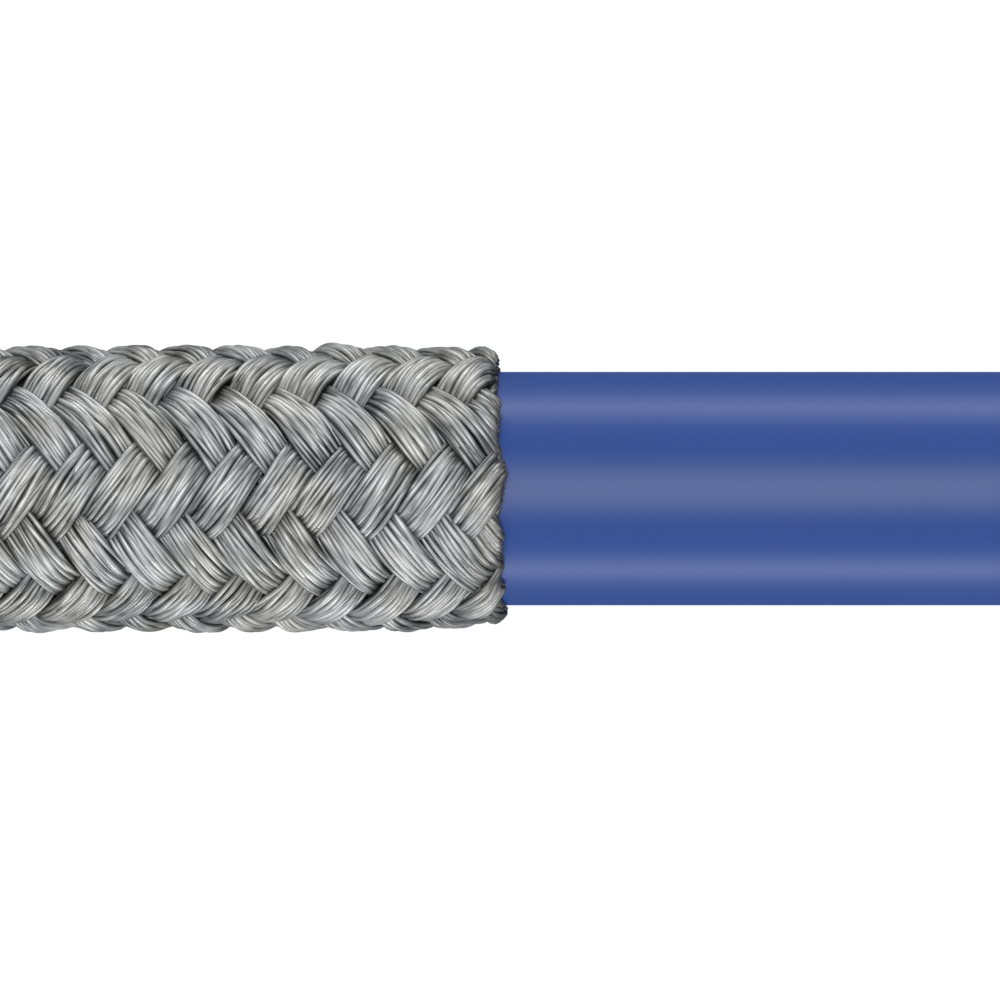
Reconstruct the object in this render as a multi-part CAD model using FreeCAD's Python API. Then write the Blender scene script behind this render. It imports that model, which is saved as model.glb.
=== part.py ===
# Stripped-back length of screened microphone cable, in millimetres.
# The cable lies along X. Its outer jacket is left on at the -X end. Next to it the tinned copper
# braid is bare up to its trimmed edge, and then the inner sheath is bare. At the +X end the two
# insulated conductors leave the sheath, spread apart and come down to the surface.
# Z = 0 is that surface, and X = 0 is halfway along the piece.
import FreeCAD, Part
import math
import os

# Lengths that show along the cable
jacket_length = 8.0
braid_bare_length = 11.2
sheath_bare_length = 12.0
insulation_reach = 9.0
strand_reach = 3.0
filler_tail_length = 1.6

# Twisted pair: two stranded cores in their insulation
core_diameter = 0.74
core_clearance = 0.02
insulation_wall = 0.41
pair_clearance = 0.04
pair_lay = 30.0
twist_step_degrees = 30.0
tip_spread = 7.0

# Fillers in the two grooves of the pair, and how much of a groove's width they take
filler_clearance = 0.03
filler_fill_share = 0.83

# Inner sheath
pair_to_sheath_clearance = 0.10
sheath_wall = 0.65

# Braid: flat bundles of wire, half of them wound each way, that pass over two and under two
bundles_each_way = 12
bundle_pitch = 1.06
bundle_thickness = 0.26
bundle_clearance = 0.008
sheath_to_braid_clearance = 0.02
float_angle_degrees = -1.4
float_middle_from_trim = -0.37

# A bundle's form: crossings from the middle of its float, lift in full lifts, width in pitches
bundle_profile = (
    (0.0, 1.0, 0.94),
    (0.5, 1.0, 0.80),
    (0.75, 1.0, 0.50),
    (1.0, 0.0, 0.40),
)

# Six corners of a bundle's flat section: along X in half widths, outwards in half thicknesses
bundle_corners = ((-1, 0), (-0.6, 1), (0.6, 1), (1, 0), (0.6, -1), (-0.6, -1))

# Outer jacket
braid_to_jacket_clearance = 0.05
jacket_wall = 0.75

# Share of the shorter run that stays straight beside a corner of a path
straight_share = 0.1

# Sizes that follow from those above
core_radius = core_diameter / 2
passage_radius = core_radius + core_clearance
insulation_radius = passage_radius + insulation_wall

# The pair's chords come nearer to the axis than its points do
chord_share = math.cos(math.radians(twist_step_degrees) / 2)
pair_radius = (insulation_radius + pair_clearance / 2) / chord_share
sheath_bore_radius = pair_radius + insulation_radius + pair_to_sheath_clearance
sheath_radius = sheath_bore_radius + sheath_wall

left_reach = jacket_length + braid_bare_length
right_reach = sheath_bare_length + insulation_reach + strand_reach
trim_x = (left_reach - right_reach) / 2
left_end_x = trim_x - left_reach
jacket_edge_x = trim_x - braid_bare_length
sheath_end_x = trim_x + sheath_bare_length
insulation_end_x = sheath_end_x + insulation_reach
strand_end_x = insulation_end_x + strand_reach

bundle_half_thickness = bundle_thickness / 2
bundle_lift = bundle_half_thickness + bundle_clearance / 2
braid_inner_radius = sheath_radius + sheath_to_braid_clearance
braid_middle_radius = braid_inner_radius + bundle_half_thickness + bundle_lift
braid_outer_radius = braid_middle_radius + bundle_lift + bundle_half_thickness
turn_per_mm = 2 * math.pi / (bundles_each_way * bundle_pitch)
crossing_angle = math.pi / bundles_each_way

jacket_bore_radius = braid_outer_radius + braid_to_jacket_clearance
jacket_radius = jacket_bore_radius + jacket_wall
axis_height = jacket_radius
full_drop = axis_height - insulation_radius

# A circle that touches the bore and both conductors fills a groove of the pair
groove_reach = sheath_bore_radius - filler_clearance
groove_radius = (groove_reach**2 + pair_radius**2 - insulation_radius**2) \
    / (2 * (groove_reach + insulation_radius))
filler_radius = filler_fill_share * groove_radius
filler_offset = groove_reach - filler_radius

# Free stretch of a conductor, in shares of the insulation's reach, of its way out and of its drop.
# The last bend ends just past the insulation, so the bare strands are straight.
conductor_route = (
    (0.24, 0.13, 0.10),
    (0.46, 0.42, 0.47),
    (0.64, 0.66, 0.83),
    (0.90, 0.83, 1.00),
)


def vector(x, y, z):
    return FreeCAD.Vector(x, y, z)


def rod(radius, start_x, end_x):
    base = vector(start_x, 0, axis_height)
    return Part.makeCylinder(radius, end_x - start_x, base, vector(1, 0, 0))


def tube(outer_radius, inner_radius, start_x, end_x):
    return rod(outer_radius, start_x, end_x).cut(rod(inner_radius, start_x, end_x))


# Braid

def bundle_shape(crossings):
    """A bundle's lift from the braid's middle, in full lifts, and its half width along X.

    crossings counts the crossings passed since the middle of one of its floats. A float spans
    two crossings, and the bundle then passes under the next two.
    """
    from_float = abs((crossings + 2) % 4 - 2)
    side = 1
    if from_float > 1:
        from_float = 2 - from_float
        side = -1
    for near, lift, width_share in bundle_profile:
        if math.isclose(near, from_float):
            return side * lift, width_share * bundle_pitch / 2


def bundle_section(x, angle, lift, half_width):
    """A flat six-sided section, in the plane that holds the cable's axis at this angle."""
    points = []
    for along, outward in bundle_corners:
        radius = braid_middle_radius + lift + outward * bundle_half_thickness
        y = radius * math.sin(angle)
        z = axis_height + radius * math.cos(angle)
        points.append(vector(x + along * half_width, y, z))
    return Part.makePolygon(points + points[:1])


def bundle(number, direction):
    """One bundle of the braid. Seen from above, direction 1 climbs with X and -1 falls."""
    float_angle = math.radians(float_angle_degrees)
    half_twist = turn_per_mm * (trim_x + float_middle_from_trim)
    spacing = 2 * math.pi * number / bundles_each_way
    if direction > 0:
        angle_at_middle = float_angle - half_twist + spacing
    else:
        angle_at_middle = float_angle - crossing_angle + half_twist + spacing
    reach = []
    for x in (left_end_x - bundle_pitch, trim_x + bundle_pitch):
        angle = angle_at_middle + direction * turn_per_mm * x
        reach.append((angle - float_angle) / crossing_angle)
    stops = [near for near, lift, width_share in bundle_profile]
    steps = stops[:-1] + [2 - near for near in reversed(stops[1:])]
    first = 2 * math.floor(min(reach) / 2)
    last = 2 * math.ceil(max(reach) / 2)
    sections = []
    for half_period in range(first, last, 2):
        for step in steps:
            crossings = half_period + step
            angle = float_angle + crossings * crossing_angle
            x = direction * (angle - angle_at_middle) / turn_per_mm
            lift, half_width = bundle_shape(crossings)
            sections.append(bundle_section(x, angle, direction * lift * bundle_lift, half_width))
    strip = Part.makeLoft(sections, True, True)
    return strip.common(rod(2 * braid_outer_radius, left_end_x, trim_x))


# Conductors and fillers

def twisted_points(radius, quarter_turns):
    """Points of a strand that winds about the axis, from past the -X end to the sheath's end."""
    step = pair_lay * twist_step_degrees / 360
    count = math.ceil((sheath_end_x - left_end_x) / step) + 1
    points = []
    for index in range(count, -1, -1):
        angle = -index * math.radians(twist_step_degrees) + quarter_turns * math.pi / 2
        y = radius * math.cos(angle)
        z = axis_height + radius * math.sin(angle)
        points.append(vector(sheath_end_x - index * step, y, z))
    return points


def rounded_path(points):
    """Straight runs joined by tangent arcs."""
    edges = []
    start = points[0]
    for before, corner, after in zip(points, points[1:], points[2:]):
        into = (corner - before).normalize()
        out = (after - corner).normalize()
        half_turn = into.getAngle(out) / 2
        shorter_run = min((corner - before).Length, (after - corner).Length)
        trim = (1 - straight_share) / 2 * shorter_run
        arc_radius = trim / math.tan(half_turn)
        inward = (out - into).normalize()
        arc_start = corner - into * trim
        arc_middle = corner + inward * arc_radius * (1 / math.cos(half_turn) - 1)
        arc_end = corner + out * trim
        edges.append(Part.LineSegment(start, arc_start).toShape())
        edges.append(Part.Arc(arc_start, arc_middle, arc_end).toShape())
        start = arc_end
    edges.append(Part.LineSegment(start, points[-1]).toShape())
    return Part.Wire(edges)


def round_strand(radius, points):
    """A round solid of this radius that follows the points, cut off square at the -X end."""
    first_run = points[1] - points[0]
    profile = Part.Wire(Part.makeCircle(radius, points[0], first_run))
    strand = rounded_path(points).makePipeShell([profile], True, False)
    return strand.common(rod(jacket_radius + tip_spread, left_end_x, strand_end_x + tip_spread))


def conductor_points(side):
    """The whole route of one conductor, to the tip of its strands. side is 1 at +Y, -1 at -Y."""
    points = twisted_points(side * pair_radius, 0)
    way_out = tip_spread / 2 - pair_radius
    for ahead, outward, below in conductor_route:
        y = side * (pair_radius + outward * way_out)
        z = axis_height - below * full_drop
        points.append(vector(sheath_end_x + ahead * insulation_reach, y, z))
    points.append(vector(strand_end_x, side * tip_spread / 2, axis_height - full_drop))
    return points


def insulation(side):
    """A conductor's insulation, which ends on the route's last run."""
    points = conductor_points(side)
    passage = round_strand(passage_radius, points)
    last_run = points[-1] - points[-2]
    last_share = (insulation_end_x - points[-2].x) / last_run.x
    points[-1] = points[-2] + last_run * last_share
    return round_strand(insulation_radius, points).cut(passage)


def core(side):
    return round_strand(core_radius, conductor_points(side))


def filler(side):
    """One filler. side is 1 above the pair at the sheath's end, and -1 below it."""
    points = twisted_points(side * filler_offset, 1)
    return round_strand(filler_radius, points + [points[-1] + vector(filler_tail_length, 0, 0)])


def parts():
    """Every sub-part by name."""
    shapes = {
        "outer_jacket": tube(jacket_radius, jacket_bore_radius, left_end_x, jacket_edge_x),
        "inner_sheath": tube(sheath_radius, sheath_bore_radius, left_end_x, sheath_end_x),
        "conductor_insulation_front": insulation(-1),
        "conductor_insulation_rear": insulation(1),
        "conductor_core_front": core(-1),
        "conductor_core_rear": core(1),
        "filler_upper": filler(1),
        "filler_lower": filler(-1),
    }
    for number in range(bundles_each_way):
        shapes[f"braid_rising_bundle_{number + 1:02d}"] = bundle(number, 1)
        shapes[f"braid_falling_bundle_{number + 1:02d}"] = bundle(number, -1)
    return shapes


os.makedirs("parts", exist_ok=True)
for name, shape in parts().items():
    shape.exportStep(f"parts/{name}.step")
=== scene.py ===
# Stripped-back length of screened microphone cable, in metres, seen from straight above.
import math
import random

import bmesh
import bpy
from mathutils import Matrix, Vector


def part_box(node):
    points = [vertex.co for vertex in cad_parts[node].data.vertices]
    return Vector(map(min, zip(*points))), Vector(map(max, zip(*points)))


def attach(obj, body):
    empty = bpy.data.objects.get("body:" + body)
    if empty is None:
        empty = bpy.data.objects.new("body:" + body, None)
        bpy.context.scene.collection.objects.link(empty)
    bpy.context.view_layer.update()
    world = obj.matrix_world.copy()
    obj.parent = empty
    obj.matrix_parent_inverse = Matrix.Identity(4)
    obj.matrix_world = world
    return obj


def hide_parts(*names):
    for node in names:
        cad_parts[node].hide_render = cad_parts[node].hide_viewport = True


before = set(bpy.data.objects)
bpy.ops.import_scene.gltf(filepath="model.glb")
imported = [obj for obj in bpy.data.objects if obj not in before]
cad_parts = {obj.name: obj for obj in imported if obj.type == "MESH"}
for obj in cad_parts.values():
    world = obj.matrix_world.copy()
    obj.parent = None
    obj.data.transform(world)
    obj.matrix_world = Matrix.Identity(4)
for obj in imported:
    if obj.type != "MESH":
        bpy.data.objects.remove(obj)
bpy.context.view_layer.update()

millimetre = 0.001

# Sizes that the frame gives
jacket_low, jacket_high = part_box("outer_jacket")
sheath_low, sheath_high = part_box("inner_sheath")
axis_height = (jacket_low.z + jacket_high.z) / 2
jacket_radius = (jacket_high.z - jacket_low.z) / 2
sheath_radius = (sheath_high.z - sheath_low.z) / 2
left_end_x = jacket_low.x
jacket_edge_x = jacket_high.x
sheath_end_x = sheath_high.x
trim_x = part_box("braid_rising_bundle_01")[1].x
axis_start = Vector((left_end_x, 0, axis_height))

# Jacket and sheath: their walls, the rounding of their cut edges, and the fineness of their meshes
jacket_wall = 0.75 * millimetre
jacket_rounding = 0.09 * millimetre
sheath_wall = 0.65 * millimetre
sheath_rounding = 0.05 * millimetre
rounding_steps = 4
ring_spans = 24
turn_steps = 160
merge_distance = 0.0005 * millimetre

# Bundles of the braid, half of them wound each way, that pass over two and under two
bundles_each_way = 12
bundle_pitch = 1.06 * millimetre
float_angle = math.radians(-1.4)
float_middle_x = trim_x - 0.37 * millimetre
float_steepness = 1.25
braid_middle_radius = sheath_radius + 0.254 * millimetre
bundle_lift = 0.12 * millimetre
turn_per_metre = 2 * math.pi / (bundles_each_way * bundle_pitch)
crossing_angle = math.pi / bundles_each_way

# Section of a bundle: how far its floats bulge, and how much of its pitch the wires take
bundle_crown = 0.105 * millimetre
bundle_fill = 0.97
gathered_share = 0.05

# Wires of a bundle, on top and beneath, and the steps between the points of one wire
wires_in_bundle = 12
wires_beneath = 7
layer_depth = 0.075 * millimetre
wire_radius = 0.064 * millimetre
wire_radius_shares = (0.76, 1.18)
wire_tip_share = 0.62
wire_clearance = 0.004 * millimetre
wire_sides = 10
step_on_top = 0.09 * millimetre
step_beneath = 0.16 * millimetre
step_in_jacket = 0.3 * millimetre

# Inside the jacket the floats are pressed flatter, and at its mouth they rise to their full crown
crown_share_in_jacket = 0.8
mouth_start_x = jacket_edge_x - 0.6 * millimetre
mouth_end_x = jacket_edge_x + 0.2 * millimetre

# How bundles and wires stray: a reach, then the lengths of the waves that share it
bundle_swell = (0.045 * millimetre, 5.3 * millimetre, 3.1 * millimetre)
bundle_tilt = (0.030 * millimetre, 4.1 * millimetre, 2.3 * millimetre)
wire_sideways = (0.075 * millimetre, 2.9 * millimetre, 1.5 * millimetre)
wire_outwards = (0.052 * millimetre, 2.1 * millimetre, 1.1 * millimetre)
stray_fade = 0.3 * millimetre

# At +Y the braid has slipped back along the cable, and at -Y it is drawn in near the cut. Each
# begins where the sine of the angle from the top, towards its side, reaches side_onset.
side_onset = 0.35
braid_slip = 0.33 * millimetre
slip_rounds = 3
drawn_in_depth = 0.13 * millimetre
drawn_in_length = 2.8 * millimetre

# Trimmed edge of the braid: degrees from the top towards +Y, and millimetres past the trim
trimmed_edge = (
    (-180, 0.00), (-110, 0.02), (-95, 0.06), (-84, 0.06), (-77, -0.01), (-70, -0.05), (-64, -0.10),
    (-60, -0.05), (-54, 0.04), (-49, -0.08), (-44, -0.06), (-39, 0.00), (-30, -0.05), (-22, 0.00),
    (-16, -0.14), (-12, -0.27), (-8, -0.06), (7, 0.06), (12, 0.00), (17, -0.10), (27, -0.13),
    (35, -0.07), (42, -0.08), (51, -0.18), (61, -0.12), (67, -0.17), (80, -0.12), (180, 0.00),
)

# How unevenly single wires are cut, in millimetres, and how the cut ends tuck in
wire_end_scatter = (-0.025, 0.015)
tuck_depth = 0.22 * millimetre
tuck_length = 0.42 * millimetre

# Twisted pair. Strands are made longer than they are and cut square at the cable's -X end.
pair_lay = 30 * millimetre
pair_radius = 0.8489 * millimetre
twist_step = math.radians(30)
route_steps = 16
cut_allowance = 1 * millimetre

# Insulation of the conductors
insulation_radius = 0.80 * millimetre
insulation_wall = 0.40 * millimetre
insulation_rounding = 0.03 * millimetre
insulation_rounding_steps = 3
insulation_sides = 48
sharp_angle = math.radians(60)

# Free stretch of a conductor, in shares of the insulation's reach, of its way out and of its drop
insulation_reach = 9 * millimetre
strand_reach = 3 * millimetre
tip_spread = 7 * millimetre
conductor_route = (
    (0.24, 0.13, 0.10),
    (0.46, 0.42, 0.47),
    (0.64, 0.66, 0.83),
    (0.90, 0.83, 1.00),
)
insulation_end_x = sheath_end_x + insulation_reach
strand_end_x = insulation_end_x + strand_reach
full_drop = axis_height - insulation_radius

# Core of a conductor. Each ring has a count of strands, a radius in strand radii, and a turn in
# strands. Past the insulation a strand opens by a share and ends up to some points early.
core_strand_radius = 0.073 * millimetre
core_strand_sides = 12
core_rings = ((1, 0, 0), (6, 2, 0), (12, 3.9, 0.5))
core_lay = 9 * millimetre
core_openings = (0.04, 0.16)
core_points_trimmed = 2

# Cotton fillers, whose fibres open and end unevenly past the sheath in the same way
filler_offset = 1.2188 * millimetre
filler_radius = 0.50 * millimetre
filler_tail_length = 1.6 * millimetre
filler_lay = 6 * millimetre
fibres_in_filler = 54
fibre_radius = 0.045 * millimetre
fibre_sides = 6
fibre_openings = (-0.1, 0.35)
fibre_points_trimmed = 5

# Light: an overhead lamp, one low lamp on each side, and an even sky
sky_level = 0.24
overhead_height = 0.8
overhead_size = (0.5, 0.5)
overhead_radiance = 5.4
side_lamp_distance = 0.45
side_lamp_height = 0.028
side_lamp_size = (0.42, 0.055)
side_lamp_radiance = 16.5

# Floor, which rays that show the background see as mostly white
floor_radius = 1.4
floor_sides = 96
floor_grey = 0.64
floor_white = 1.2
floor_white_share = 0.8

# Picture
frame_pixels = 1000
sheath_pixels = 233.5
trim_pixel_x = 503
axis_pixel_y = 488.6
lens_length = 600
sensor_width = 36
nearest_seen = 0.01
farthest_seen = 10


class Value:
    """A shader socket that plain Python expressions can work on."""

    def __init__(self, finish, socket):
        self.finish = finish
        self.socket = socket

    def _math(self, operation, other):
        return self.finish.node("ShaderNodeMath", {"operation": operation}, self, other)

    def __add__(self, other):
        return self._math("ADD", other)

    def __mul__(self, other):
        return self._math("MULTIPLY", other)

    __radd__ = __add__
    __rmul__ = __mul__


class Finish:
    """The node tree of a material or of the world, under construction."""

    def __init__(self, owner):
        owner.use_nodes = True
        self.owner = owner
        self.tree = owner.node_tree
        self.tree.nodes.clear()

    def node(self, kind, settings=None, *inputs, places=None, output=0, **named):
        """Makes any node. settings come first, then sockets in order or at places, or by name."""
        made = self.tree.nodes.new(kind)
        for key, setting in (settings or {}).items():
            setattr(made, key, setting)
        for index, given in zip(places or range(len(inputs)), inputs):
            self._feed(made.inputs[index], given)
        for key, given in named.items():
            self._feed(made.inputs[key.replace("_", " ")], given)
        if made.outputs:
            return Value(self, made.outputs[output])

    def _feed(self, socket, given):
        if isinstance(given, Value):
            self.tree.links.new(given.socket, socket)
        else:
            socket.default_value = given

    def place(self):
        """The place on the cable, in metres."""
        return self.node("ShaderNodeTexCoord", output="Object")

    def attribute(self, name):
        return self.node("ShaderNodeAttribute", {"attribute_name": name}, output="Fac")

    def stretched(self, vector, scale):
        return self.node("ShaderNodeMapping", Vector=vector, Scale=scale)

    def noise(self, vector, per_metre, detail, roughness=0.5):
        return self.node("ShaderNodeTexNoise", output="Fac", Vector=vector, Scale=per_metre,
                         Detail=detail, Roughness=roughness)

    def ramp(self, factor, low, high):
        """Maps low..high of a factor to 0..1, held at the ends."""
        return self.node("ShaderNodeMapRange", {"clamp": True}, factor, low, high, 0.0, 1.0)

    def mix(self, factor, first, second):
        """Mixes two colours. The places are those of the node's sockets for colours."""
        return self.node("ShaderNodeMix", {"data_type": "RGBA"}, factor, first, second,
                         places=(0, 6, 7), output=2)

    def bump(self, height, distance, strength):
        return self.node("ShaderNodeBump", Height=height, Distance=distance, Strength=strength)

    def seen_directly(self):
        """1 for the rays that show the background: camera, glossy and transmission rays."""
        seen = self.node("ShaderNodeLightPath", output="Is Camera Ray")
        for name in ("Is Glossy Ray", "Is Transmission Ray"):
            other = self.node("ShaderNodeLightPath", output=name)
            seen = self.node("ShaderNodeMath", {"operation": "MAXIMUM"}, seen, other)
        return seen

    def from_axis(self, place):
        """Distance from the cable's axis."""
        flat = self.node("ShaderNodeMapping", Vector=place, Scale=(0, 1, 1),
                         Location=(0, 0, -axis_height))
        return self.node("ShaderNodeVectorMath", {"operation": "LENGTH"}, flat, output="Value")

    def shader(self, **sockets):
        return self.node("ShaderNodeBsdfPrincipled", **sockets)

    def surface(self, shader):
        self.node("ShaderNodeOutputMaterial", Surface=shader)
        return self.owner


def new_finish(name):
    return Finish(bpy.data.materials.new(name))


# Finishes

def tinned_wire():
    """Tin brighter in streaks along each wire, warm or cool, with painted shade low in the braid and
    painted highlights on float tops.
    """
    cool_dull = (0.108, 0.112, 0.118, 1)
    warm_dull = (0.113, 0.113, 0.107, 1)
    cool_bright = (0.470, 0.478, 0.491, 1)
    warm_bright = (0.487, 0.487, 0.464, 1)
    # Painted shade: the colour the tin takes low in the braid, near the sheath, where shade falls
    # between the floats
    painted_shade_low_in_braid = (0.136, 0.138, 0.143, 1)
    edge_tint = (0.0, 0.03, 0.07, 1)
    shift_between_wires = 0.05
    made = new_finish("tinned_copper_wire")
    place = made.place()
    shift = made.attribute("strand_shade") * shift_between_wires
    place_on_wire = made.node("ShaderNodeVectorMath", {"operation": "ADD"}, place, shift)
    streaks = made.noise(place_on_wire, per_metre=1500, detail=2)
    clouds = made.noise(place, per_metre=1000, detail=2)
    tints = made.noise(place, per_metre=650, detail=1)
    from_axis = made.from_axis(place)
    # Painted highlight: the tin gets lighter the further a float stands out from the axis, between
    # 2.68 and 2.90 mm
    painted_float_top_highlight = made.ramp(from_axis, low=2.68 * millimetre, high=2.90 * millimetre)
    level = made.ramp(streaks * 0.75 + clouds * 0.6 + painted_float_top_highlight * 0.18, low=0.61, high=1.10)
    warmth = made.ramp(tints, low=0.30, high=0.70)
    dull = made.mix(warmth, cool_dull, warm_dull)
    bright = made.mix(warmth, cool_bright, warm_bright)
    tone_with_painted_highlight = made.mix(level, dull, bright)
    # Painted shade: below 2.80 mm from the axis the tin darkens towards the painted shade colour,
    # fully by 2.48 mm
    height = made.ramp(from_axis, low=2.48 * millimetre, high=2.80 * millimetre)
    colour = made.mix(height, painted_shade_low_in_braid, tone_with_painted_highlight)
    roughness = 0.45 + made.ramp(clouds, low=0.3, high=0.7) * 0.12
    grain = made.noise(place, per_metre=3200, detail=1)
    bump = made.bump(grain, distance=0.004 * millimetre, strength=0.5)
    return made.surface(made.shader(
        Base_Color=colour, Metallic=1.0, Roughness=roughness, Normal=bump,
        Specular_Tint=edge_tint))


def soft_plastic(name, darker, lighter, gloss_share):
    """Soft plastic whose thin gloss is as weak at its edges as in its middle."""
    drawn_along_cable = (0.03, 1, 1)
    grey = (0.5, 0.5, 0.5, 1)
    made = new_finish(name)
    place = made.place()
    drawn = made.noise(made.stretched(place, drawn_along_cable), per_metre=2600, detail=2)
    speckle = made.noise(place, per_metre=9000, detail=3)
    cloud = made.noise(place, per_metre=260, detail=2)
    colour = made.mix(cloud, darker, lighter)
    bump = made.bump(drawn * 0.6 + speckle * 0.4, distance=0.001 * millimetre, strength=0.3)
    body = made.shader(Base_Color=colour, Roughness=0.6, Specular_IOR_Level=0.0, Normal=bump)
    gloss = made.shader(Base_Color=grey, Metallic=1.0, Roughness=0.42, Normal=bump)
    return made.surface(made.node("ShaderNodeMixShader", None, gloss_share, body, gloss))


def blue_plastic():
    return soft_plastic("blue_sheath_plastic", darker=(0.009, 0.048, 0.236, 1),
                        lighter=(0.011, 0.054, 0.252, 1), gloss_share=0.067)


def white_plastic():
    return soft_plastic("white_insulation_plastic", darker=(0.74, 0.73, 0.69, 1),
                        lighter=(0.80, 0.79, 0.75, 1), gloss_share=0.06)


def red_plastic():
    return soft_plastic("red_insulation_plastic", darker=(0.40, 0.018, 0.018, 1),
                        lighter=(0.46, 0.026, 0.024, 1), gloss_share=0.06)


def black_plastic():
    """Matt plastic with a fine moulded grain."""
    darker = (0.009, 0.009, 0.010, 1)
    lighter = (0.018, 0.018, 0.020, 1)
    made = new_finish("black_jacket_plastic")
    place = made.place()
    grain = made.noise(place, per_metre=5200, detail=4, roughness=0.6)
    cloud = made.noise(place, per_metre=400, detail=2)
    colour = made.mix(cloud, darker, lighter)
    roughness = 0.48 + made.ramp(grain, low=0.3, high=0.7) * 0.15
    bump = made.bump(grain, distance=0.012 * millimetre, strength=0.6)
    return made.surface(made.shader(
        Base_Color=colour, Roughness=roughness, Normal=bump, Specular_IOR_Level=0.32))


def bare_copper():
    darker = (0.60, 0.25, 0.13, 1)
    lighter = (0.83, 0.43, 0.27, 1)
    made = new_finish("bare_copper_strand")
    shade = made.attribute("strand_shade")
    grain = made.noise(made.place(), per_metre=1800, detail=1)
    colour = made.mix(made.ramp(shade * 0.6 + grain * 0.5, low=0.2, high=0.9), darker, lighter)
    roughness = 0.30 + made.ramp(grain, low=0.3, high=0.7) * 0.12
    bump = made.bump(grain, distance=0.002 * millimetre, strength=0.3)
    return made.surface(made.shader(
        Base_Color=colour, Metallic=1.0, Roughness=roughness, Normal=bump))


def cotton_yarn():
    darker = (0.60, 0.55, 0.45, 1)
    lighter = (0.80, 0.77, 0.69, 1)
    made = new_finish("cotton_filler_yarn")
    shade = made.attribute("strand_shade")
    grain = made.noise(made.place(), per_metre=7000, detail=4)
    colour = made.mix(made.ramp(shade * 0.6 + grain * 0.5, low=0.2, high=0.9), darker, lighter)
    roughness = 0.85 + made.ramp(grain, low=0.3, high=0.7) * 0.1
    bump = made.bump(grain, distance=0.01 * millimetre, strength=0.6)
    return made.surface(made.shader(
        Base_Color=colour, Roughness=roughness, Normal=bump, Specular_IOR_Level=0.2))


# Objects and meshes

def in_scene(name, data):
    """A new object in the scene."""
    made = bpy.data.objects.new(name, data)
    bpy.context.scene.collection.objects.link(made)
    return made


def piece(name, mesh, node, finish):
    """Puts a finished mesh in the scene in place of a CAD node."""
    made = in_scene(name, mesh)
    mesh.materials.clear()
    mesh.materials.append(finish)
    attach(made, "root")
    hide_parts(node)


def mesh_from(holder):
    """The mesh that an object's curve or modifiers come to. The object is used up."""
    ready = holder.evaluated_get(bpy.context.evaluated_depsgraph_get())
    mesh = bpy.data.meshes.new_from_object(ready)
    bpy.data.objects.remove(holder)
    return mesh


def with_modifier(mesh, kind, **settings):
    """The mesh after one modifier. The mesh that was given is used up."""
    holder = in_scene(mesh.name, mesh)
    modifier = holder.modifiers.new("shape", kind)
    for key, setting in settings.items():
        setattr(modifier, key, setting)
    made = mesh_from(holder)
    bpy.data.meshes.remove(mesh)
    return made


def form_of(mesh):
    form = bmesh.new()
    form.from_mesh(mesh)
    return form


def smooth(form):
    for face in form.faces:
        face.smooth = True


def finished(form, mesh):
    """Points the faces of a form outwards and puts it in its mesh."""
    bmesh.ops.recalc_face_normals(form, faces=form.faces[:])
    form.to_mesh(mesh)
    form.free()
    return mesh


def cut_square(form):
    """Takes off everything past the cable's -X end."""
    bmesh.ops.bisect_plane(form, geom=form.verts[:] + form.edges[:] + form.faces[:],
                           plane_co=axis_start, plane_no=(1, 0, 0), clear_inner=True)


def open_edges(form):
    return [edge for edge in form.edges if edge.is_boundary]


# Shapes

def new_curve(name):
    curve = bpy.data.curves.new(name, "CURVE")
    curve.dimensions = "3D"
    return curve


def add_spline(curve, kind, points):
    spline = curve.splines.new(kind)
    spline.points.add(len(points) - 1)
    spline.points.foreach_set("co", [number for point in points for number in (*point, 1)])
    return spline


def open_tubes(name, paths, radii, sides, tip_share=1):
    """A mesh of round tubes, each with a path and a radius. tip_share narrows its last end."""
    curve = new_curve(name)
    curve.bevel_depth = 1
    curve.bevel_resolution = sides // 2 - 2
    for path, radius in zip(paths, radii):
        spline = add_spline(curve, "POLY", path)
        spline.points.foreach_set("radius", [radius] * (len(path) - 1) + [radius * tip_share])
    mesh = mesh_from(in_scene(name, curve))
    bpy.data.curves.remove(curve)
    mesh.name = name
    return mesh


def strands(name, paths, radii, sides, shades, tip_share=1, squared=False):
    """A mesh of round strands with closed ends, each with a path, a radius and a shade.

    squared cuts them off square at the cable's -X end.
    """
    mesh = open_tubes(name, paths, radii, sides, tip_share)
    shade_of = mesh.attributes.new("strand_shade", "FLOAT", "POINT")
    spread = [shade for path, shade in zip(paths, shades) for _ in range(len(path) * sides)]
    shade_of.data.foreach_set("value", spread)
    form = form_of(mesh)
    if squared:
        cut_square(form)
    smooth(form)
    for cap in bmesh.ops.holes_fill(form, edges=open_edges(form), sides=0)["faces"]:
        cap.smooth = False
    return finished(form, mesh)


def turned(name, profile):
    """A closed ring section, given as (x, radius) points, turned about the cable's axis."""
    form = bmesh.new()
    corners = [form.verts.new((x, 0, axis_height + radius)) for x, radius in profile]
    for first, second in zip(corners, corners[1:] + corners[:1]):
        form.edges.new((first, second))
    bmesh.ops.spin(form, geom=form.verts[:] + form.edges[:], cent=axis_start, axis=(1, 0, 0),
                   dvec=(0, 0, 0), angle=2 * math.pi, steps=turn_steps, use_merge=True)
    bmesh.ops.remove_doubles(form, verts=form.verts[:], dist=merge_distance)
    smooth(form)
    return finished(form, bpy.data.meshes.new(name))


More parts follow.
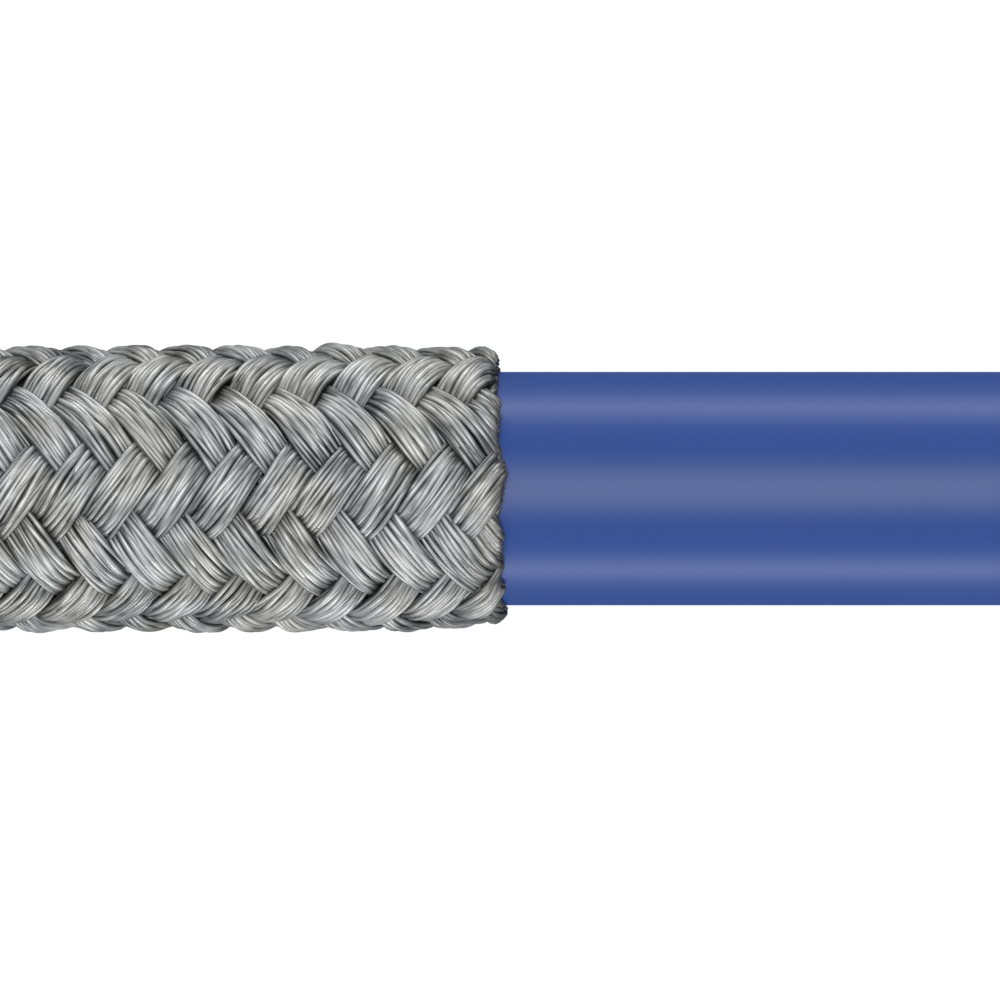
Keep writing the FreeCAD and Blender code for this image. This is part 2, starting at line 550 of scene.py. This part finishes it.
def sleeve_profile(end_x, outer_radius, wall, rounding):
    """Section of a tube from the cable's -X end, with rounded edges and even rings between."""
    inner_radius = outer_radius - wall
    first_ring_x = left_end_x + 2 * rounding
    last_ring_x = end_x - 2 * rounding
    corners = (
        (left_end_x + rounding, inner_radius + rounding, 270, None),
        (left_end_x + rounding, outer_radius - rounding, 180, (first_ring_x, last_ring_x)),
        (end_x - rounding, outer_radius - rounding, 90, None),
        (end_x - rounding, inner_radius + rounding, 0, (last_ring_x, first_ring_x)),
    )
    points = []
    for centre_x, centre_radius, turn, rings in corners:
        for step in range(rounding_steps + 1):
            angle = math.radians(turn - step * 90 / rounding_steps)
            points.append((centre_x + rounding * math.cos(angle),
                           centre_radius + rounding * math.sin(angle)))
        if rings:
            near_x, far_x = rings
            radius = points[-1][1]
            for span in range(ring_spans + 1):
                points.append((near_x + (far_x - near_x) * span / ring_spans, radius))
    return points


def smooth_route(points):
    """Even points along the smooth line that the route's points control."""
    curve = new_curve("route")
    curve.resolution_u = route_steps
    spline = add_spline(curve, "NURBS", points)
    spline.order_u = 3
    spline.use_endpoint_u = True
    mesh = mesh_from(in_scene("route", curve))
    line = [vertex.co.copy() for vertex in mesh.vertices]
    bpy.data.curves.remove(curve)
    bpy.data.meshes.remove(mesh)
    return line


def between(line, start_x, end_x):
    """The stretch of a line, which runs along +X, between two places, cut exactly there."""
    kept = []
    for first, second in zip(line, line[1:]):
        for cut in (start_x, end_x):
            if first.x < cut <= second.x:
                kept.append(first.lerp(second, (cut - first.x) / (second.x - first.x)))
        if start_x < second.x < end_x:
            kept.append(second)
    return kept


def eased(value, low, high):
    """0 below low, 1 above high, and smooth between."""
    share = min(1, max(0, (value - low) / (high - low)))
    return share * share * (3 - 2 * share)


def wander(draw, reach, *wavelengths):
    """A smooth random function of distance that stays within about reach."""
    waves = [(2 * math.pi / length, draw.uniform(0, 2 * math.pi), draw.uniform(0.5, 1))
             for length in wavelengths]
    share = reach / len(waves)
    return lambda x: share * sum(size * math.sin(rate * x + start) for rate, start, size in waves)


# Jacket and sheath

def outer_jacket():
    profile = sleeve_profile(jacket_edge_x, jacket_radius, jacket_wall, jacket_rounding)
    mesh = turned("outer_jacket_sleeve", profile)
    piece("outer_jacket_sleeve", mesh, "outer_jacket", black_plastic())


def inner_sheath():
    profile = sleeve_profile(sheath_end_x, sheath_radius, sheath_wall, sheath_rounding)
    mesh = turned("inner_sheath_tube", profile)
    piece("inner_sheath_tube", mesh, "inner_sheath", blue_plastic())


# Braid

def float_rise(crossings):
    """1 on top of a float and -1 under the next."""
    wave = math.cos(math.pi * crossings / 2)
    return math.tanh(float_steepness * wave) / math.tanh(float_steepness)


def stations(end_x, fine_step):
    """Places along X at which a wire has a point, wider apart inside the jacket."""
    places = []
    x = left_end_x + wire_radius
    while x < end_x - fine_step / 2:
        places.append(x)
        x += step_in_jacket if x < mouth_start_x else fine_step
    return places + [end_x]


def crown_share(x):
    """Share of its full crown that a float has at this place along X."""
    bare = eased(x, mouth_start_x, mouth_end_x)
    return crown_share_in_jacket + (1 - crown_share_in_jacket) * bare


def slipped(angle):
    """How far the braid has slipped back along the cable at this angle, most of all at +Y."""
    return braid_slip * eased(math.sin(angle), side_onset, 1.0)


def drawn_in(x, angle):
    """How far the braid's floats are drawn in near the cut, most of all at -Y."""
    from_cut = eased(x, trim_x - drawn_in_length, trim_x)
    return drawn_in_depth * from_cut * eased(-math.sin(angle), side_onset, 1.0)


def trim_at(angle):
    """How far past the trim a wire at this angle ends."""
    degrees = (math.degrees(angle) + 180) % 360 - 180
    for (low, low_reach), (high, high_reach) in zip(trimmed_edge, trimmed_edge[1:]):
        if low <= degrees <= high:
            share = (degrees - low) / (high - low)
            return (low_reach + share * (high_reach - low_reach)) * millimetre


class Bundle:
    """The course of one bundle of the braid. direction 1 climbs with X and -1 falls.

    place says where a wire lies across its bundle, from -0.5 to 0.5.
    """

    def __init__(self, number, direction):
        self.draw = random.Random(100 * number + direction)
        self.direction = direction
        turn_to_float = turn_per_metre * float_middle_x
        spacing = 2 * math.pi * number / bundles_each_way
        if direction > 0:
            self.start_angle = float_angle - turn_to_float + spacing
        else:
            self.start_angle = float_angle - crossing_angle + turn_to_float + spacing
        self.swell = wander(self.draw, *bundle_swell)
        self.tilt = wander(self.draw, *bundle_tilt)

    def course(self, x, place):
        """Angle and rise of a wire at x. A few rounds settle the angle, as the slip depends on it."""
        turn = self.direction * turn_per_metre
        even_angle = self.start_angle + turn * (x - place * bundle_pitch)
        angle = even_angle
        for _ in range(slip_rounds):
            angle = even_angle + turn * slipped(angle)
        crossings = (angle - float_angle) / crossing_angle + self.direction * place
        return angle, self.direction * float_rise(crossings)

    def crown(self, x, place):
        """How far a wire stands out on top of a float."""
        return bundle_crown * (1 - (2 * place) ** 2) + self.swell(x) + self.tilt(x) * 2 * place

    def wire(self, place, depth, fine_step):
        """Points along the middle of one wire, which lies at this depth in its bundle."""
        sideways = wander(self.draw, *wire_sideways)
        outwards = wander(self.draw, *wire_outwards)
        end_x = trim_x + trim_at(self.course(trim_x, place)[0])
        end_x += self.draw.uniform(*wire_end_scatter) * millimetre
        points = []
        for x in stations(end_x, fine_step):
            angle, rise = self.course(x, place)
            share = crown_share(x)
            tuck = tuck_depth * max(0, 1 - (end_x - x) / tuck_length) ** 2
            radius = braid_middle_radius + rise * bundle_lift
            radius += self.crown(x, place) * share * max(rise, 0)
            radius += outwards(x) * share - depth - tuck
            radius -= drawn_in(x, angle) * (1 + rise) / 2
            radius = max(radius, sheath_radius + wire_radius + wire_clearance)
            gathered = gathered_share * (1 - abs(rise)) * place * bundle_pitch
            fade = eased(x, left_end_x, left_end_x + stray_fade) * eased(end_x - x, 0, stray_fade)
            points.append((x + fade * (sideways(x) - gathered), radius * math.sin(angle),
                           axis_height + radius * math.cos(angle)))
        return points

    def wires(self):
        """The paths of all its wires, those on top first."""
        layers = ((wires_in_bundle, 0, step_on_top), (wires_beneath, layer_depth, step_beneath))
        paths = []
        for count, depth, fine_step in layers:
            for wire in range(count):
                place = bundle_fill * ((wire + 0.5) / count - 0.5)
                paths.append(self.wire(place, depth, fine_step))
        return paths


def braid_bundle(number, direction, finish):
    """One bundle as its separate wires."""
    way = "rising" if direction > 0 else "falling"
    bundle = Bundle(number, direction)
    paths = bundle.wires()
    radii = [wire_radius * bundle.draw.uniform(*wire_radius_shares) for _ in paths]
    shades = [bundle.draw.random() for _ in paths]
    name = f"braid_{way}_wires_{number + 1:02d}"
    mesh = strands(name, paths, radii, wire_sides, shades, tip_share=wire_tip_share)
    piece(name, mesh, f"braid_{way}_bundle_{number + 1:02d}", finish)


# Conductors and fillers

def twisted_points(radius, quarter_turns):
    """Control points of a strand that winds about the axis up to the sheath's end."""
    step = pair_lay * twist_step / (2 * math.pi)
    count = math.ceil((sheath_end_x - left_end_x) / step) + 1
    points = []
    for index in range(count, -1, -1):
        angle = -index * twist_step + quarter_turns * math.pi / 2
        points.append(Vector((sheath_end_x - index * step, radius * math.cos(angle),
                              axis_height + radius * math.sin(angle))))
    return points


def conductor_line(side):
    """The smooth middle line of one conductor. side is 1 at +Y, -1 at -Y."""
    points = twisted_points(side * pair_radius, 0)
    way_out = tip_spread / 2 - pair_radius
    for ahead, outward, below in conductor_route:
        points.append(Vector((sheath_end_x + ahead * insulation_reach,
                              side * (pair_radius + outward * way_out),
                              axis_height - below * full_drop)))
    points.append(Vector((strand_end_x, side * tip_spread / 2, axis_height - full_drop)))
    return smooth_route(points)


def carried_frames(line):
    """Every point of a line, with two directions across the line that don't spin along it."""
    tangent = (line[1] - line[0]).normalized()
    across = tangent.orthogonal().normalized()
    frames = []
    for index, point in enumerate(line):
        ahead = line[min(index + 1, len(line) - 1)]
        behind = line[max(index - 1, 0)]
        new_tangent = (ahead - behind).normalized()
        across = tangent.rotation_difference(new_tangent) @ across
        tangent = new_tangent
        frames.append((point, across, tangent.cross(across)))
    return frames


def wound_path(frames, radius, start_angle, lay, opening, opening_x, opening_length):
    """A strand that winds round a line and opens past opening_x, by a share of its radius."""
    path = []
    travelled = 0
    previous = frames[0][0]
    for point, across, upward in frames:
        travelled += (point - previous).length
        previous = point
        angle = start_angle + 2 * math.pi * travelled / lay
        opened = 1 + opening * max(0, (point.x - opening_x) / opening_length) ** 2
        reach = radius * opened
        path.append(point + reach * (math.cos(angle) * across + math.sin(angle) * upward))
    return path


def insulation_sleeve(name, side, node, finish):
    """A tube with a real wall and bore and slightly softened cut edges."""
    line = between(conductor_line(side), left_end_x - cut_allowance, insulation_end_x)
    skin = open_tubes(name, [line], [insulation_radius], insulation_sides)
    # The skin has to face outwards before it gets its wall
    finished(form_of(skin), skin)
    walled = with_modifier(skin, "SOLIDIFY", thickness=insulation_wall, offset=-1)
    form = form_of(walled)
    cut_square(form)
    bmesh.ops.bridge_loops(form, edges=open_edges(form))
    smooth(form)
    finished(form, walled)
    mesh = with_modifier(walled, "BEVEL", width=insulation_rounding,
                         segments=insulation_rounding_steps,
                         limit_method="ANGLE", angle_limit=sharp_angle)
    piece(name, mesh, node, finish)


def stranded_core(name, side, node, finish):
    """Nineteen twisted copper strands that open a little past the insulation."""
    draw = random.Random(name)
    line = between(conductor_line(side), left_end_x - cut_allowance, strand_end_x)
    frames = carried_frames(line)
    paths = []
    for count, ring_radius, turn in core_rings:
        for strand in range(count):
            opening = draw.uniform(*core_openings)
            trimmed = draw.randint(0, core_points_trimmed)
            start_angle = 2 * math.pi * (strand + turn) / count
            path = wound_path(frames, ring_radius * core_strand_radius, start_angle, core_lay,
                              opening, insulation_end_x, strand_reach)
            paths.append(path[:len(path) - trimmed])
    radii = [core_strand_radius] * len(paths)
    shades = [draw.random() for _ in paths]
    mesh = strands(name, paths, radii, core_strand_sides, shades, squared=True)
    piece(name, mesh, node, finish)


def cotton_filler(name, side, node, finish):
    """A loose yarn of fine fibres whose cut end has opened."""
    draw = random.Random(name)
    points = twisted_points(side * filler_offset, 1)
    tail_end_x = sheath_end_x + filler_tail_length
    points.append(points[-1] + Vector((filler_tail_length, 0, 0)))
    line = between(smooth_route(points), left_end_x - cut_allowance, tail_end_x)
    frames = carried_frames(line)
    golden_angle = math.pi * (3 - math.sqrt(5))
    paths = []
    for fibre in range(fibres_in_filler):
        radius = (filler_radius - fibre_radius) * math.sqrt((fibre + 0.5) / fibres_in_filler)
        opening = draw.uniform(*fibre_openings)
        trimmed = draw.randint(0, fibre_points_trimmed)
        path = wound_path(frames, radius, fibre * golden_angle, filler_lay,
                          opening, sheath_end_x, filler_tail_length)
        paths.append(path[:len(path) - trimmed])
    radii = [fibre_radius] * len(paths)
    shades = [draw.random() for _ in paths]
    mesh = strands(name, paths, radii, fibre_sides, shades, squared=True)
    piece(name, mesh, node, finish)


# Stage

def stage_floor():
    """A wide round floor that keeps the cable's shadow."""
    form = bmesh.new()
    bmesh.ops.create_circle(form, cap_ends=True, segments=floor_sides, radius=floor_radius)
    mesh = bpy.data.meshes.new("floor")
    form.to_mesh(mesh)
    form.free()
    made = new_finish("pale_floor")
    diffuse = made.node("ShaderNodeBsdfDiffuse", Color=(floor_grey, floor_grey, floor_grey, 1))
    white = made.node("ShaderNodeEmission", Color=(1, 1, 1, 1), Strength=floor_white)
    white_share = made.seen_directly() * floor_white_share
    mixed = made.node("ShaderNodeMixShader", None, white_share, diffuse, white)
    mesh.materials.append(made.surface(mixed))
    in_scene("floor", mesh)


def studio_sky():
    """Even light, which is white for the rays that show the background."""
    world = bpy.data.worlds.new("studio")
    bpy.context.scene.world = world
    made = Finish(world)
    strength = sky_level + made.seen_directly() * (1 - sky_level)
    background = made.node("ShaderNodeBackground", Color=(1, 1, 1, 1), Strength=strength)
    made.node("ShaderNodeOutputWorld", Surface=background)


def strip_lamp(name, place, size, radiance):
    """A soft strip along X that faces the cable. Its power is its radiance times pi and its area."""
    length, width = size
    light = bpy.data.lights.new(name, "AREA")
    light.shape = "RECTANGLE"
    light.size = length
    light.size_y = width
    light.energy = radiance * math.pi * length * width
    lamp = in_scene(name, light)
    backwards = (Vector(place) - Vector((0, 0, axis_height))).normalized()
    along = Vector((1, 0, 0))
    turn = Matrix((along, backwards.cross(along), backwards)).transposed()
    lamp.location = place
    lamp.rotation_euler = turn.to_euler()
    lamp.visible_camera = False


def picture_camera():
    """Looks straight down, with the trimmed edge and the axis at their pixels."""
    scale = 2 * sheath_radius / sheath_pixels
    centre = frame_pixels / 2
    middle_x = trim_x + (centre - trim_pixel_x) * scale
    middle_y = (axis_pixel_y - centre) * scale
    distance = frame_pixels * scale * lens_length / sensor_width
    camera = bpy.data.cameras.new("picture")
    camera.lens = lens_length
    camera.sensor_width = sensor_width
    camera.clip_start = nearest_seen
    camera.clip_end = farthest_seen
    holder = in_scene("picture", camera)
    holder.location = (middle_x, middle_y, axis_height + distance)
    bpy.context.scene.camera = holder


bpy.context.scene.view_settings.view_transform = "Standard"
picture_camera()
studio_sky()
stage_floor()
strip_lamp("overhead_lamp", (0, 0, overhead_height), overhead_size, overhead_radiance)
for name, side in (("front_lamp", -1), ("rear_lamp", 1)):
    place = (0, side * side_lamp_distance, side_lamp_height)
    strip_lamp(name, place, side_lamp_size, side_lamp_radiance)

tin = tinned_wire()
for number in range(bundles_each_way):
    braid_bundle(number, 1, tin)
    braid_bundle(number, -1, tin)
inner_sheath()
outer_jacket()

insulation_sleeve("front_insulation", -1, "conductor_insulation_front",
                  white_plastic())
insulation_sleeve("rear_insulation", 1, "conductor_insulation_rear",
                  red_plastic())
copper = bare_copper()
stranded_core("front_core_strands", -1, "conductor_core_front", copper)
stranded_core("rear_core_strands", 1, "conductor_core_rear", copper)
yarn = cotton_yarn()
cotton_filler("upper_filler_yarn", 1, "filler_upper", yarn)
cotton_filler("lower_filler_yarn", -1, "filler_lower", yarn)
